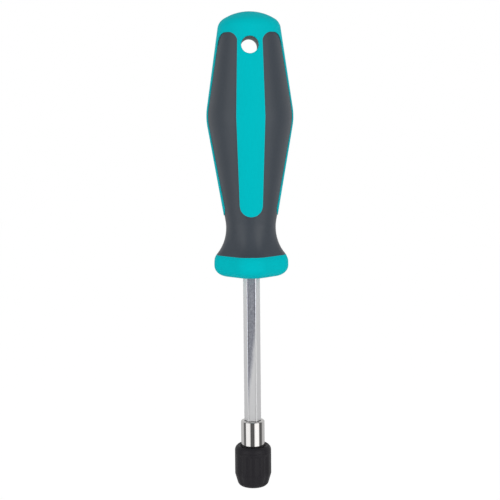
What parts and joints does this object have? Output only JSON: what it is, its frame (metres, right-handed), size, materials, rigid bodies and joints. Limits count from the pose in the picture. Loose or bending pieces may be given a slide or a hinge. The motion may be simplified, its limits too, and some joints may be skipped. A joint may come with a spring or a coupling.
{
  "type": "bit holder screwdriver",
  "caption": "Hand screwdriver with a two-component moulded handle, a hexagon shaft and a magnetic quick-release socket for hexagon bits, freed by pulling back a fluted spring sleeve.",
  "frame": {"origin": "centre of the socket's mouth, at the tip of the release sleeve", "axes": "+Z along the tool from the tip to the dome of the handle, -Y to the front stripe of the handle, X across the hanging hole"},
  "size_m": [0.036, 0.036, 0.2001],
  "materials": {
    "dark_plastic": "moulded satin",
    "teal_plastic": "moulded, soft sheen",
    "soft_grip": "fine matte",
    "shaft_steel": "drawn, satin nickel",
    "polished_steel": "polished",
    "magnet": "nickel plated",
    "ball_steel": "polished",
    "spring_steel": "oil-dark",
    "liner_steel": "turned",
    "black_plastic": "fine matte"
  },
  "bodies": {
    "tool": {"handle_core": "dark_plastic", "handle_shell": "teal_plastic", "soft_grip": "soft_grip", "hex_shaft": "shaft_steel", "holder_tube": "polished_steel", "magnet": "magnet", "front_snap_ring": "spring_steel", "rear_snap_ring": "spring_steel", "spring_seat": "liner_steel", "return_spring": "spring_steel"},
    "washer": {"thrust_washer": "liner_steel"},
    "sleeve": {"release_sleeve": "black_plastic", "cam_ring": "liner_steel", "sleeve_cap": "black_plastic"},
    "ball_left": {"locking_ball_left": "ball_steel"},
    "ball_right": {"locking_ball_right": "ball_steel"}
  },
  "joints": [
    {"name": "sleeve_pull", "type": "slide", "parent": "tool", "child": "washer", "axis": [0, 0, 1], "range_m": [0, 0.0025], "stiffness_N_per_m": 800, "springref_m": -0.004, "deforming": ["return_spring"]},
    {"name": "sleeve_turn", "type": "hinge", "parent": "washer", "child": "sleeve", "pos_m": [0, 0, 0.0105], "axis": [0, 0, 1], "continuous": true},
    {"name": "ball_left_out", "type": "slide", "parent": "tool", "child": "ball_left", "axis": [-1, 0, 0], "range_m": [0, 0.0005]},
    {"name": "ball_right_out", "type": "slide", "parent": "tool", "child": "ball_right", "axis": [1, 0, 0], "range_m": [0, 0.0005]}
  ],
  "couplings": [
    {"joint": "ball_left_out", "follows": "sleeve_pull", "ratio": 0.2},
    {"joint": "ball_right_out", "follows": "sleeve_pull", "ratio": 0.2}
  ]
}
